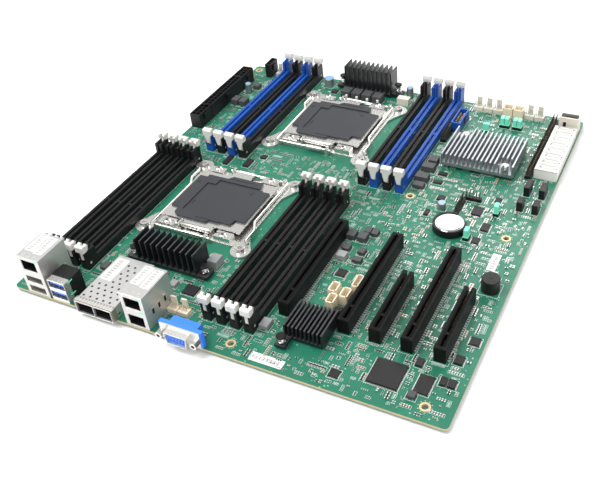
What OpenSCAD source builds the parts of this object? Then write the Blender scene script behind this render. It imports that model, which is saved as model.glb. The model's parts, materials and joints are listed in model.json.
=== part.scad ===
// Dual-processor server motherboard, 305 x 330 mm.
// Lengths are in millimetres. Places on the board are measured from its left rear corner:
// x runs along the rear connector edge, y towards the front edge, z up from the top face.
// The finished part's origin is the rear mounting hole on the expansion side, at the underside.

/* [Board] */
// Width along the rear edge
board_w = 305; // [300:1:330]
// Depth from rear to front edge
board_d = 330; // [330:1:340]
// Laminate thickness
board_t = 1.6; // [1.2:0.1:2.4]
// Corner radius
corner_r = 3; // [1:0.5:5]
// Radius of a mounting hole
mount_hole_r = 1.98; // [1.8:0.01:2.2]

/* [Memory sockets] */
// Centre distance between neighbouring sockets
dimm_pitch = 10; // [9.4:0.1:11]
// Width of a socket
dimm_w = 6.2; // [5.6:0.1:7]
// Length of a socket
dimm_l = 141; // [140:0.5:142]
// Height of the long part of a socket
dimm_h = 6.5; // [6:0.1:8]
// Height of the towers at its ends
tower_h = 14.3; // [13:0.1:14.5]
// Length of a tower
tower_l = 10; // [9:0.5:12]
// Height of a closed latch
latch_h = 20.2; // [19:0.1:21]

/* [Expansion slots] */
// Centre distance between slot positions
slot_pitch = 20.32; // [20.32]
// Slot width
slot_w = 7.5; // [7:0.1:8]
// Slot height
slot_h = 11.25; // [11:0.05:12]

/* [Processor sockets] */
// Half the spacing of the heat sink studs
stud_half = 40; // [40]
// Outer half width of the clamping frame
frame_half = 38; // [36:0.5:40]
// Frame sheet thickness
frame_t = 1.8; // [1.2:0.1:2]
// Radius of the lever wire
wire_r = 1.1; // [0.8:0.1:1.2]
// Clearance between a turning pin and its bore
fit_gap = 0.06; // [0.02:0.01:0.1]

/* [Heat sinks] */
// Height of the rear regulator heat sink
rear_sink_h = 20; // [16:0.5:22]
// Height of the front regulator heat sink
front_sink_h = 24; // [18:0.5:26]
// Height of the chipset heat sink
chipset_sink_h = 13; // [11:0.5:18]
// Thickness of a fin
fin_t = 1.2; // [0.8:0.1:1.4]

/* [Rear connectors] */
// Height of the network and double USB stack
lan_usb_h = 31; // [29:0.5:32]
// Height of the double network stack
dual_lan_h = 26.7; // [25:0.1:28]
// Depth of the pluggable transceiver cage
cage_l = 47.6; // [45:0.1:49]
// Height of the pluggable transceiver cage
cage_h = 9.8; // [9.6:0.1:11]

/* [Hidden] */
$fn = 32;
eps = 0.01;
through = 50;

// Mounting holes; the second one is the part's origin
datum = [288.49, 10.16];
mount_holes = [[164.03, 10.16], datum, [288.49, 165.1], [210.3, 187.4], [5.6, 322.6]];

// Memory banks: name, first socket centre x, rear end y, key y from the rear end, wide latches, colours
banks = [
    ["a", 5.35, 32, 65.3, false, ["#1b1b1d", "#1b1b1d", "#1b1b1d", "#1b1b1d"]],
    ["b", 36.8, 187.8, 65.3, true, ["#2348c8", "#1b1b1d", "#2348c8", "#1b1b1d"]],
    ["c", 139.9, 21.9, 75.7, false, ["#1b1b1d", "#1b1b1d", "#1b1b1d", "#1b1b1d"]],
    ["d", 171.1, 187.8, 75.7, true, ["#1b1b1d", "#2348c8", "#1b1b1d", "#2348c8"]]];
slots_per_bank = 4;
ends = ["rear", "front"];
groove_w = 1.6;
key_t = 1.8;
cavity_l = 7.9;
cavity_floor = 0.9;
outer_wall = 1;
outer_wall_h = 6;
wide_cavity = 4;
narrow_cavity = 2.4;
cheek_gap = 0.2;
pivot_y = 3.4;
pivot_z = 4.2;
pivot_r = 1;
horn_h = 18.5;

// Expansion slots: position number, length
slot_x0 = 183.1;
slot_y = 43.3;
long_slot = 88.5;
short_slot = 55.5;
slots = [[0, long_slot], [2, long_slot], [3, short_slot], [4, long_slot], [5, short_slot]];
slot_key_y = 13.4;
peg_r = 1.15;
peg_drop = 2;

// Processor sockets
sockets = [[85.9, 125.9], [117.7, 254.6]];
screw_x = 23.25;
screw_y = 34.9;
screw_r = 1.5;
stud_r = 3.2;
stud_thread_r = 1.65;
stud_top = 4.6;
ear_r = 7.2;
plate_z = 5.2;
plate_t = 1;
cover_t = 1.5;
pad_top = 6;
hinge_y = 33.4;
hinge_z = 5.4;
hinge_r = 0.9;
rod_y = 39;
rod_z = 3.9;
arm_x = 35;
backplate_t = 2;

// Push pins: x, y, height of the head's underside
push_pins = [[60.5, 56, 8.5], [117, 56, 8.5], [95, 320, 10.5], [147.5, 320, 10.5],
    [194, 20.5, 7.5], [216.2, 53, 7.5], [226, 267.3, 8.3], [266.5, 235.2, 8.3]];
pin_r = 1.5;
spring_out_r = 2.4;
spring_in_r = 1.8;

// Battery and buzzer
battery = [249.3, 161.8];
cell_r = 10;
cell_t = 3.2;
holder_r = 11.8;
holder_h = 5.6;
cell_z = 2.4;
buzzer = [293.4, 113];

// Moves board coordinates into the part's own frame
module on_board() translate([-datum.x, -datum.y, board_t]) children();

// A box given by its low corner and size
module block(x, y, z, w, d, h) translate([x, y, z]) cube([w, d, h]);

// A box centred on x and y, standing on z
module centred(x, y, z, w, d, h) translate([x - w / 2, y - d / 2, z]) cube([w, d, h]);

// An upright cylinder
module post(x, y, z, r, h) translate([x, y, z]) cylinder(r = r, h = h);

// A cylinder along x, centred on x
module x_rod(x, y, z, r, l) translate([x, y, z]) rotate([0, 90, 0]) cylinder(r = r, h = l, center = true);

// A rectangle with round corners
module rounded_rect(w, d, r) {
    translate([r, 0]) square([w - 2 * r, d]);
    translate([0, r]) square([w, d - 2 * r]);
    for (x = [r, w - r], y = [r, d - r]) translate([x, y]) circle(r = r);
}

// The four corners of a rectangle about the origin
module corners(x, y) for (i = [-1, 1], j = [-1, 1]) translate([i * x, j * y, 0]) children();

// ---- board ----

module circuit_board() color("#2f9a78") on_board() translate([0, 0, -board_t]) linear_extrude(board_t)
    difference() {
        rounded_rect(board_w, board_d, corner_r);
        for (p = mount_holes) translate(p) circle(r = mount_hole_r);
        for (p = sockets) translate(p) {
            corners(stud_half, stud_half) circle(r = stud_r + 0.1);
            corners(screw_x, screw_y) circle(r = screw_r + 0.1);
        }
        for (p = push_pins) translate([p.x, p.y]) circle(r = pin_r + 0.1);
        for (s = slots, y = [slot_key_y, s[1] - 4])
            translate([slot_x(s), slot_y + y]) circle(r = peg_r + 0.05);
    }

// ---- memory ----

module memory_sockets() on_board() for (b = banks, i = [0 : slots_per_bank - 1])
    color(b[5][i]) translate([b[1] + i * dimm_pitch, b[2], 0]) memory_socket(b[3], b[4]);

// One socket, its rear end at y = 0
module memory_socket(key_y, wide) {
    difference() {
        union() {
            block(-dimm_w / 2, 0, 0, dimm_w, dimm_l, dimm_h);
            for (y = [0, dimm_l - tower_l]) block(-dimm_w / 2, y, 0, dimm_w, tower_l, tower_h);
            if (wide) block(groove_w / 2, dimm_l - tower_l, tower_h - 1, dimm_w / 2 - groove_w / 2 - eps, 1.6,
                horn_h - tower_h + 1);
        }
        block(-groove_w / 2, cavity_l - eps, 2.4, groove_w, key_y - key_t / 2 - cavity_l, through);
        block(-groove_w / 2, key_y + key_t / 2, 2.4, groove_w, dimm_l - cavity_l - key_y - key_t / 2 + eps,
            through);
        for (e = [0, 1]) at_end(e) {
            latch_cavity(wide ? wide_cavity : narrow_cavity);
            x_rod(0, pivot_y, pivot_z, pivot_r + fit_gap, through);
        }
    }
}

// Slot for the latch: closed low on the outer face, open above
module latch_cavity(w) {
    block(-w / 2, outer_wall, cavity_floor, w, cavity_l - outer_wall, through);
    block(-w / 2, -eps, outer_wall_h, w, 2, through);
}

// Rear end as drawn, or the same shape at the front end
module at_end(e) translate([0, e * dimm_l, 0]) mirror([0, e, 0]) children();

// The latch of one socket end: a hooked lever on a cross pin
module latch(b, i, e) color("#efeee8") on_board()
    translate([b[1] + (i - 1) * dimm_pitch, b[2], 0]) at_end(e) latch_body(b[4]);

module latch_body(wide) {
    neck_w = (wide ? wide_cavity : narrow_cavity) - 2 * cheek_gap;
    across(neck_w, [[2.3, 2.2], [1.7, 4.4], [2.3, 7.1], [-0.3, 8.3], [-0.3, 15.3], [3, 15.3], [4.6, 7],
        [5, 3.4], [7, 3.1], [7, 2], [3.2, 1.6]]);
    x_rod(0, pivot_y, pivot_z, pivot_r, dimm_w - 0.6);
    if (wide) {
        across(7.4, [[-1.2, 15.3], [-1.2, 19.2], [-0.2, latch_h], [2.6, latch_h], [3.4, 17.6], [3.4, 15.3]]);
        translate([0, -0.25, 0]) rotate([90, 0, 0]) linear_extrude(0.9)
            polygon([[-1.1, 8.3], [1.1, 8.3], [2.5, 13.6], [2.5, 15.4], [-2.5, 15.4], [-2.5, 13.6]]);
    } else {
        across(6.8, [[-1.2, 15], [-1.2, latch_h - 0.8], [0, latch_h], [1.8, latch_h - 0.6], [2.2, 15]]);
        for (x = [-2.3, 2.3]) translate([x, 0, 0])
            across(2.2, [[1.7, 15.4], [1.7, 19.2], [3.6, latch_h], [4.6, 19], [3.4, 15.4]]);
    }
}

// An outline in the y-z plane, made w wide along x
module across(w, points) translate([-w / 2, 0, 0]) rotate([90, 0, 90]) linear_extrude(w) polygon(points);

// ---- expansion slots ----

function slot_x(s) = slot_x0 + s[0] * slot_pitch;

module expansion_slots() color("#202124") on_board() for (s = slots) translate([slot_x(s), slot_y, 0]) {
    difference() {
        block(-slot_w / 2, 0, 0, slot_w, s[1], slot_h);
        block(-0.9, 2.2, 3.4, 1.8, slot_key_y - 3.2, through);
        block(-0.9, slot_key_y + 1, 3.4, 1.8, s[1] - slot_key_y - (s[1] == long_slot ? 3.2 : 0), through);
    }
    for (y = [slot_key_y, s[1] - 4]) post(0, y, -board_t - peg_drop, peg_r, board_t + peg_drop + eps);
}

// ---- processor sockets ----

module processor_sockets() color("#3a3a3d") on_board() for (p = sockets) translate([p.x, p.y, 0])
    difference() {
        centred(0, 0, 0, 58, 53, 3.2);
        centred(0, 0, 0.8, 52.6, 45.2, through);
    }

module socket_frames() color("#d9d9d6") on_board() for (p = sockets) translate([p.x, p.y, 0])
    difference() {
        union() {
            centred(0, 0, 0, 2 * frame_half, 2 * frame_half, frame_t);
            corners(stud_half, stud_half) cylinder(r = ear_r, h = frame_t);
            for (x = [0, 1], y = [0, 1]) mirror([x, 0, 0]) mirror([0, y, 0]) linear_extrude(frame_t)
                polygon([[frame_half - 1, 22], [frame_half, 22], [46.6, 38.6], [44, 42],
                    [frame_half - 1, 40]]);
            corners(screw_x, screw_y - 1.1) centred(0, 0, 0, 13, 6.8, pad_top);
            for (x = [-13.2, 13.2]) centred(x, -hinge_y, 0, 2, 4.4, hinge_z + 2);
            for (s = [-1, 1], x = [-32.3, 11.1]) centred(-s * x, s * rod_y, 0, 2.2, 4, rod_z + 2);
        }
        centred(0, 0, -1, 59.2, 54.2, 3);
        corners(stud_half, stud_half) post(0, 0, -1, stud_r + 0.1, through);
        corners(screw_x, screw_y) post(0, 0, -1, screw_r + 0.05, through);
        x_rod(0, -hinge_y, hinge_z, hinge_r + fit_gap, 40);
        for (s = [-1, 1]) x_rod(0, s * rod_y, rod_z, wire_r + fit_gap, 80);
    }

module socket_screws() color("#c9c9c4") on_board() for (p = sockets) translate([p.x, p.y, 0])
    corners(screw_x, screw_y) difference() {
        union() {
            post(0, 0, pad_top, 2.6, 1.6);
            post(0, 0, -board_t - backplate_t + 0.3, screw_r, pad_top + board_t + backplate_t);
        }
        post(0, 0, pad_top + 0.7, 1.3, 2);
    }

module socket_backplates() color("#b9bcc0") on_board() for (p = sockets) translate([p.x, p.y, 0])
    difference() {
        union() {
            centred(0, 0, -board_t - backplate_t, 84, 76, backplate_t);
            corners(stud_half, stud_half) {
                post(0, 0, -board_t - backplate_t, 7, backplate_t);
                post(0, 0, -board_t - eps, stud_r, stud_top + board_t);
            }
        }
        centred(0, 0, -through / 2, 30, 26, through);
        corners(stud_half, stud_half) post(0, 0, stud_top - 8, stud_thread_r, through);
        corners(screw_x, screw_y) post(0, 0, -through / 2, screw_r + 0.05, through);
    }

// Hinged plate that presses on the processor's edges
module load_plate(p) color("#dededb") on_board() translate([p.x, p.y, 0]) {
    difference() {
        union() {
            centred(0, 0, plate_z, 66, 58, plate_t);
            centred(0, 31, plate_z, 16, 11, plate_t);
            block(-11.8, -hinge_y, plate_z, 23.6, 5, plate_t);
        }
        centred(0, 0, 0, 48, 42, through);
    }
    x_rod(0, -hinge_y, hinge_z, hinge_r, 28.4);
    x_rod(0, -hinge_y, hinge_z, 1.7, 23.6);
}

// Dust cover that lies on the load plate, with a plug in its window
module socket_cover(p) color("#58595c") on_board() translate([p.x, p.y, 0]) {
    translate([0, 0, plate_z + plate_t]) difference() {
        linear_extrude(cover_t) cover_outline();
        translate([0, 0, cover_t - 0.9]) linear_extrude(2)
            polygon([[-20, -20], [22, -20], [22, 20.5], [-13, 20.5], [-13, 14.5], [-20, 14.5]]);
    }
    centred(0, 0, plate_z + 0.3, 47.4, 41.4, plate_t - 0.2);
}

module cover_outline() polygon([[-30.7, 20.9], [-24.3, 20.9], [-24.3, 23.9], [-7.7, 23.9], [-4.7, 27.6],
    [20.8, 27.6], [23.7, 18.2], [31.3, 18.2], [31.3, -18.2], [23.7, -18.2], [22.7, -24], [6.1, -24],
    [4.1, -27.6], [-19.4, -27.6], [-23.4, -25], [-24.3, -18.2], [-30.7, -18.2]]);

// Lever: a round rod in the frame, a long arm with a joggle and a handle end
lever_path = [[-arm_x, -rod_y], [-arm_x, 12], [-39.4, 20], [-39.4, 32.5], [-43.5, 34]];

module socket_lever(p, side) color("#e3e2de") on_board() translate([p.x, p.y, rod_z])
    rotate([0, 0, side == "left" ? 0 : 180]) {
        x_rod(-10.9, -rod_y, 0, wire_r, 50.6);
        x_rod(0, -rod_y, 0, wire_r + 0.8, 14);
        translate([0, 0, 0.1 - wire_r]) linear_extrude(2 * wire_r - 0.2)
            for (i = [1 : len(lever_path) - 1]) strip(lever_path[i - 1], lever_path[i]);
    }

// A straight run of the arm between two points, in plan
module strip(a, b) {
    translate(a) rotate(atan2(b.y - a.y, b.x - a.x)) translate([0, -wire_r])
        square([norm(b - a), 2 * wire_r]);
    translate(b) circle(r = wire_r + 0.1);
}

// ---- heat sinks and their pins ----

// Base plate with n upright fins along y
module finned(x, y, w, d, z, base_t, top, n) {
    block(x, y, z, w, d, base_t);
    for (i = [0 : n - 1]) block(x + i * (w - fin_t) / (n - 1), y, z, fin_t, d, top - z);
}

module regulator_heatsinks() color("#1d1e20") on_board() difference() {
    union() {
        finned(65, 51.5, 48, 16.5, 1.4, 2.4, rear_sink_h, 11);
        block(56.5, 51.5, 1.4, 64.5, 9, 2.4);
        finned(99.2, 313.8, 44, 14.7, 1.4, 2.4, front_sink_h, 11);
        block(91, 315.5, 1.4, 60.5, 9, 2.4);
        finned(192.5, 26, 26, 23.5, 1.4, 2, 12, 10);
        block(190.5, 17, 1.4, 7, 9.5, 2);
        block(213.5, 49, 1.4, 5, 7.5, 2);
    }
    for (i = [0 : 5]) post(push_pins[i].x, push_pins[i].y, 0, pin_r + 0.1, 4);
}

module chipset_heatsink() color("#b9bdbd") on_board() difference() {
    finned(218.5, 229.5, 55.5, 42, 3, 2.6, chipset_sink_h, 17);
    for (i = [6, 7]) {
        post(push_pins[i].x, push_pins[i].y, 0, pin_r + 0.1, through);
        centred(push_pins[i].x, push_pins[i].y, 5.6, 9.4, 9.4, through);
    }
}

// Push pin: barbed shaft, spring and head; the spring is drawn as a sleeve
module push_pins() on_board() for (i = [0 : len(push_pins) - 1]) {
    p = push_pins[i];
    seat = i < 4 ? 3.8 : i < 6 ? 3.4 : 5.6;
    color(i < 6 ? "#2a2a2c" : "#f2f2f0") {
        post(p.x, p.y, -board_t - 1.8, pin_r, p[2] + board_t + 1.8);
        post(p.x, p.y, p[2], 3.1, 1.8);
    }
    color("#c4c4c4") translate([p.x, p.y, seat]) difference() {
        cylinder(r = spring_out_r, h = p[2] - seat);
        post(0, 0, -1, spring_in_r, through);
    }
}

// ---- rear connectors ----

// Network jack and two USB ports in one shield, and two network jacks in one shield
module lan_ports() color("#d4d4d2") on_board() {
    difference() {
        block(13.2, 0, 0, 18.6, 25.2, lan_usb_h);
        block(16.6, -eps, 20.4, 11.8, 14, 8.2);
        for (z = [1.5, 10]) block(15.9, -eps, z, 13.1, 12, 5.1);
    }
    difference() {
        block(94.2, 0, 0, 17.4, 28, dual_lan_h);
        for (z = [1.3, 15.6]) block(97, -eps, z, 11.8, 14, 8.4);
    }
}

module usb3_stack() color("#c7c7c6") on_board() difference() {
    block(34.2, 0, 0, 14, 16.5, 17);
    for (z = [2.6, 11]) block(34.7, -eps, z, 13, 12, 5.4);
}

module sfp_cage() color("#dedcd6") on_board() difference() {
    union() {
        block(57.5, 44 - cage_l, 0, 28.5, cage_l, cage_h);
        block(56.8, -2.6, -0.4, 29.9, 2.4, cage_h + 0.9);
    }
    for (x = [58, 72]) block(x, 43.5 - cage_l, 0.5, 13.5, cage_l, cage_h - 1);
}

module vga_port() on_board() translate([136, 0, 6.4]) {
    color("#4a8df0") {
        block(-15.4, 0, -6.4, 30.8, 3, 12.5);
        block(-10, 0, -6.4, 20, 9, 11);
    }
    color("#d8d6d0") difference() {
        union() {
            block(-14.2, -0.8, -6.2, 28.4, 0.8, 12.2);
            rotate([90, 0, 0]) linear_extrude(6) polygon([[-8.2, 4.2], [8.2, 4.2], [7, -4.2], [-7, -4.2]]);
            for (x = [-12.5, 12.5]) translate([x, 0, 0]) rotate([90, 0, 0]) cylinder(r = 2.6, h = 6, $fn = 6);
        }
        for (x = [-12.5, 12.5]) translate([x, eps, 0]) rotate([90, 0, 0]) cylinder(r = 1.2, h = through);
        translate([0, -6.1, 0]) rotate([90, 0, 180]) linear_extrude(0.8)
            polygon([[-7.8, 3.8], [7.8, 3.8], [6.7, -3.8], [-6.7, -3.8]]);
    }
}

// ---- inner connectors ----

sata_pitch = 8.1;
module storage_connectors() on_board() {
    color("#eeece6") for (i = [0 : 7]) difference() {
        block(287, 240.4 + i * sata_pitch, 0, 17, 7.9, 8);
        block(289.8, 243.4 + i * sata_pitch, 3, 10.6, 1.8, through);
        block(289.8, 243.4 + i * sata_pitch, 3, 1.6, 3, through);
    }
    color("#cfc6b4") difference() {
        block(288.5, 308.4, 0, 15.5, 8.2, 14);
        block(289.6, 309.6, 2, 13.3, 5.8, through);
    }
}

// A housing with a grid of square contact pockets
module power_housing(x, y, cols, rows) {
    pitch = 4.2;
    difference() {
        block(x, y, 0, rows * pitch + 1.2, cols * pitch + 1.4, 12.8);
        for (i = [0 : cols - 1], j = [0 : rows - 1])
            block(x + 0.9 + j * pitch, y + 1 + i * pitch, 3, 3.6, 3.6, through);
    }
}

module power_connectors() on_board() {
    color("#1a1a1b") {
        power_housing(1, 214.6, 4, 2);
        power_housing(1, 233.4, 12, 2);
        power_housing(1, 285.8, 4, 2);
        power_housing(18.2, 313.2, 3, 1);
    }
    color("#e89a2c") block(3, 305, 0, 6.5, 1.2, 12);
}

// Fan header: base block with a tall locking tab
module fan_header(x, y, w) {
    centred(x, y, 0, w, 5.6, 3.4);
    centred(x, y + 2.1, 0, w * 0.55, 1.2, 11);
}

// Pin strip bases with removable jumper caps: x, y, width, depth, cap count
jumpers = [[247.2, 302.6, 6.8, 5, 2], [257.4, 302.6, 6.8, 5, 2], [235.7, 289, 5, 3, 1],
    [263.6, 155.6, 3, 5.4, 1], [274.6, 188.4, 3, 5.4, 1]];

module board_headers() on_board() {
    color("#e9e6dd") {
        for (x = [219.4, 227.9, 236.1, 262.4, 270.6]) fan_header(x, 321.9, 7.6);
        for (x = [115.7, 123.7]) fan_header(x, 21, 7.4);
        fan_header(29.4, 320, 5.6);
        centred(156.5, 309.5, 0, 10.4, 6, 6);
    }
    color("#ecd8b8") {
        for (x = [244.9, 253.6]) centred(x, 320.6, 0, 8, 8, 8);
        for (p = [[204.6, 71.6], [207.4, 61.4], [213.4, 69.2]]) centred(p.x, p.y, 0, 5.6, 9, 8);
        centred(216.2, 81.8, 0, 4.6, 12, 8);
    }
    color("#2450cf") difference() {
        block(208.6, 280.5, 0, 8, 23.6, 9);
        block(209.9, 281.8, 2, 5.4, 21, through);
    }
    color("#1c1c1e") {
        block(281, 237, 0, 4.8, 50, 2.6);
        block(281, 290, 0, 4.8, 32, 8.6);
        block(206, 263.4, 0, 4.6, 17, 2.6);
        block(246.4, 175.8, 0, 3.4, 20, 2.6);
        block(248, 197, 0, 12.6, 3.2, 2.6);
        for (x = [286, 296.9], y = [197, 216]) block(x, y, 0, 4.2, y == 197 ? 7.6 : 11, 7.6);
        for (j = jumpers) centred(j.x, j.y, 0, j[2] + 1, j[3] + 0.6, 2.5);
    }
    color("#7fe0ba") for (j = jumpers, i = [0 : j[4] - 1])
        centred(j.x + (i - (j[4] - 1) / 2) * 3.6, j.y, 2.5, j[4] == 1 ? j[2] : 2.8, j[3], 6);
}

// ---- soldered components ----

// Chips and inductors: centre x, centre y, width, depth, height
chips = [[260.5, 23.5, 19, 19, 1.6], [282.7, 24.2, 8.8, 14, 1.2], [232.4, 12.4, 6, 6, 1],
    [199.6, 92, 6.6, 6.6, 1.2], [295, 48.6, 5.4, 6.6, 1.6], [298.8, 66, 6.2, 6.2, 1.2],
    [292, 30.2, 4, 6, 1.6], [297, 30.2, 4.6, 6, 1.6], [261.6, 186, 7.2, 9.6, 1.6],
    [232.4, 192, 5.6, 5.6, 1.4], [272.2, 170.6, 5.6, 8.4, 1.4], [228.6, 172.6, 3.4, 6.4, 1.4],
    [270.4, 154.4, 5.2, 6, 1.4], [271.6, 203.6, 4.6, 5, 1.4], [223.4, 221, 7, 3.6, 1.2],
    [223.4, 210, 7, 3.6, 1.2], [246.2, 250.4, 25, 25, 3], [115.4, 40.4, 9.4, 8.6, 1.4],
    [58.2, 180.4, 4.2, 11.6, 1.6], [75.6, 182, 5, 9.8, 1.6], [83.2, 194, 4.6, 4.6, 1.2],
    [91, 308.4, 5.4, 5.4, 1.2], [205.5, 37.5, 14, 14, 1.4], [76, 57.5, 12, 6, 1.4],
    [100, 57.5, 12, 6, 1.4], [108, 321, 10, 8, 1.4], [132, 321, 10, 8, 1.4]];
chokes = [[104.8, 305.6, 8.6, 9.4, 6.6], [114.6, 305.6, 8.6, 9.4, 6.6], [124.4, 305.6, 8.6, 9.4, 6.6],
    [134.2, 305.6, 8.6, 9.4, 6.6], [117, 68.4, 7.4, 9, 6.6], [58.4, 70, 5, 9, 5],
    [211.4, 223, 10, 7, 5], [211.4, 209, 10, 7, 5], [212.2, 200, 8, 6, 3.4], [212, 232.6, 7, 7, 5],
    [190.4, 129, 6.4, 7.4, 4.2], [198.6, 129, 6.4, 7.4, 4.2], [199, 137.4, 4.8, 6, 3],
    [204.4, 137, 4.8, 6, 3], [193.4, 106, 6.8, 6.2, 4.4], [204.4, 106.4, 6.6, 4.6, 3],
    [192.6, 115.6, 5, 5.6, 3], [203.8, 115.6, 5, 5.6, 3], [176.8, 31.4, 6, 8, 3.4],
    [47.2, 38.6, 5, 6.6, 2.6], [17.4, 262, 6.4, 8.6, 5.4], [24.8, 262, 6.2, 8.6, 5.4],
    [21.4, 291.4, 5.6, 6, 4], [279, 14, 5, 4.6, 2.6], [274.8, 38.4, 4.4, 6, 1.8],
    [101.5, 41, 5, 6, 2.4], [25.6, 205.2, 7, 5, 4]];
// Can capacitors: centre x, centre y, radius, height
cans = [[18.2, 282, 2.8, 9.5], [81.4, 318.4, 4.4, 7.4], [157.5, 322, 3, 9.5], [236.6, 181.6, 3, 5.4]];
// Small sealed posts beside the front processor's chokes
reed_x = [107, 116.8, 126.6, 136.4];

module surface_components() on_board() {
    color("#2b2b2e") for (c = chips) centred(c.x, c.y, 0, c[2], c[3], c[4]);
    color("#77787a") for (c = chokes) centred(c.x, c.y, 0, c[2], c[3], c[4]);
    color("#c6d4d6") for (c = cans) post(c.x, c.y, 0, c[2], c[3]);
    color("#d8d8d4") for (x = reed_x) post(x, 299.2, 0, 1.1, 5);
    color("#1b1b1c") difference() {
        post(buzzer.x, buzzer.y, 0, 6, 9.7);
        post(buzzer.x, buzzer.y, 6, 1, through);
    }
}

module battery_holder() color("#19191a") on_board() translate([battery.x, battery.y, 0]) difference() {
    cylinder(r = holder_r, h = holder_h, $fn = 64);
    post(0, 0, cell_z, cell_r + 0.3, through);
    centred(8, 8, cell_z, 12, 8, through);
}

module coin_cell() color("#d3d2ce") on_board() translate([battery.x, battery.y, cell_z]) {
    cylinder(r = cell_r, h = cell_t - 0.6, $fn = 64);
    cylinder(r = cell_r - 1, h = cell_t, $fn = 64);
}

circuit_board();
memory_sockets();
expansion_slots();
processor_sockets();
socket_frames();
socket_screws();
socket_backplates();
regulator_heatsinks();
chipset_heatsink();
push_pins();
lan_ports();
usb3_stack();
sfp_cage();
vga_port();
storage_connectors();
power_connectors();
board_headers();
surface_components();
battery_holder();
coin_cell();
for (s = [1, 2]) {
    load_plate(sockets[s - 1]);
    socket_cover(sockets[s - 1]);
    for (side = ["left", "right"])
        socket_lever(sockets[s - 1], side);
}
for (b = banks, i = [1 : slots_per_bank], e = [0, 1])
    latch(b, i, e);
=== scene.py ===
"""A dual-processor server motherboard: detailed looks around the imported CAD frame."""

import json
import math
import random

import bmesh
import bpy
from mathutils import Matrix, Vector


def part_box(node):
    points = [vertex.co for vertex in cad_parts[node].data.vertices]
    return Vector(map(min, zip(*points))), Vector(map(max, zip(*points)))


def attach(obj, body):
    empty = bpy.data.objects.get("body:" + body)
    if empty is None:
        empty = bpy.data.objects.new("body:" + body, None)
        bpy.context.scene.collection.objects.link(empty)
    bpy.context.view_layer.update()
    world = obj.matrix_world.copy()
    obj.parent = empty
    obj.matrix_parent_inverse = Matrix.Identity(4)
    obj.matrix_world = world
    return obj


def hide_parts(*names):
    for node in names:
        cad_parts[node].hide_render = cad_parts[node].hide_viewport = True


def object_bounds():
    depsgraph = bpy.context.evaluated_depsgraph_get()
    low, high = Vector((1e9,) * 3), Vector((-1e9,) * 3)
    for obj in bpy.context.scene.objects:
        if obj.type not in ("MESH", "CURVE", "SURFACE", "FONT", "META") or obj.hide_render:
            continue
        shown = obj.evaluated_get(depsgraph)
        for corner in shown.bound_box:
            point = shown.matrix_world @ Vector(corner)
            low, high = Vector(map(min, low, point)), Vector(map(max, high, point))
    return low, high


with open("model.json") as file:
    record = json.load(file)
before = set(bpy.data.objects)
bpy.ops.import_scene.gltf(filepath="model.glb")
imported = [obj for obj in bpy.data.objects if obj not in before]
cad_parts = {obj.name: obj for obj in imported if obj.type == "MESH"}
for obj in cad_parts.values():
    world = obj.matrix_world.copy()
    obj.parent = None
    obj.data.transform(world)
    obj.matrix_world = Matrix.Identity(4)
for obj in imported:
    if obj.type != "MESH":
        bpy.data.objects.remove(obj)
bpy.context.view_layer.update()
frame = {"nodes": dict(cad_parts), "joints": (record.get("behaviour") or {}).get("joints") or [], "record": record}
NODES = frame["nodes"]
MM = 0.001
BOARD_LO, BOARD_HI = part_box("circuit_board")
ZERO = Vector((BOARD_LO.x, BOARD_LO.y, BOARD_HI.z))
WIDTH = (BOARD_HI.x - BOARD_LO.x) / MM
DEPTH = (BOARD_HI.y - BOARD_LO.y) / MM
rng = random.Random(7)


def at(x, y, z=0.0):
    """A point given in mm from the board's rear left corner and top face, in the frame."""
    return ZERO + Vector((x, y, z)) * MM


def mm(p):
    """The reverse of at."""
    return (Vector(p) - ZERO) / MM


def box_of(node):
    """A node's box in board millimetres."""
    lo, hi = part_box(node)
    return mm(lo), mm(hi)


def joint_with(key, value):
    """The first joint of the frame whose key has that value."""
    return [j for j in frame["joints"] if j[key] == value][0]


def socket_middle(n):
    """The middle of processor socket n in board millimetres."""
    return mm(joint_with("name", f"socket_cover_{n}_lift")["pos_m"])


# ---- materials ----


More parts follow.
